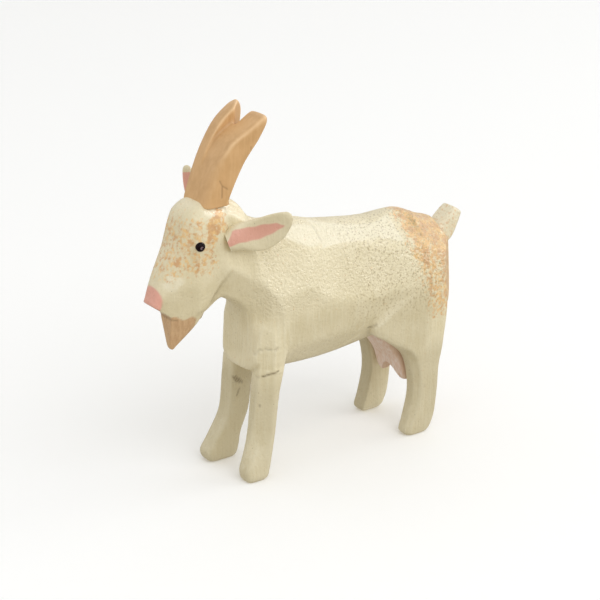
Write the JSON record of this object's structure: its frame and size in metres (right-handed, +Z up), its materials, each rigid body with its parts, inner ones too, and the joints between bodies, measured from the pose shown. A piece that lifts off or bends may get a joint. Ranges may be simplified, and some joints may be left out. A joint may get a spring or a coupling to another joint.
{
  "type": "carved wooden goat figure",
  "caption": "Standing nanny goat carved from wood and painted cream, with swept-back forked horns, a pointed beard and an udder; a free-standing ornament.",
  "frame": {"origin": "on the ground, under the middle of the length from nose to tail and of the width", "axes": "+X from the head towards the tail, +Y to the goat's own right, +Z up"},
  "size_m": [0.0882, 0.0267, 0.088],
  "materials": {
    "cream_paint": "satin cream paint with tan dry-brushed patches",
    "horn_paint": "satin tan paint, worn at the edges",
    "udder_paint": "satin pink-mauve paint",
    "eye_gloss": "glossy black",
    "bare_wood": "bare"
  },
  "bodies": {
    "root": {"body": "cream_paint", "foreleg_left": "cream_paint", "foreleg_right": "cream_paint", "hindleg_left": "cream_paint", "hindleg_right": "cream_paint", "foreleg_dowel_left": "bare_wood", "foreleg_dowel_right": "bare_wood", "hindleg_dowel_left": "bare_wood", "hindleg_dowel_right": "bare_wood", "horns": "horn_paint", "horn_dowel": "bare_wood", "ear_left": "cream_paint", "ear_right": "cream_paint", "tail": "cream_paint", "tail_dowel": "bare_wood", "udder": "udder_paint", "udder_dowel": "bare_wood", "eye_left": "eye_gloss", "eye_right": "eye_gloss"}
  },
  "joints": []
}
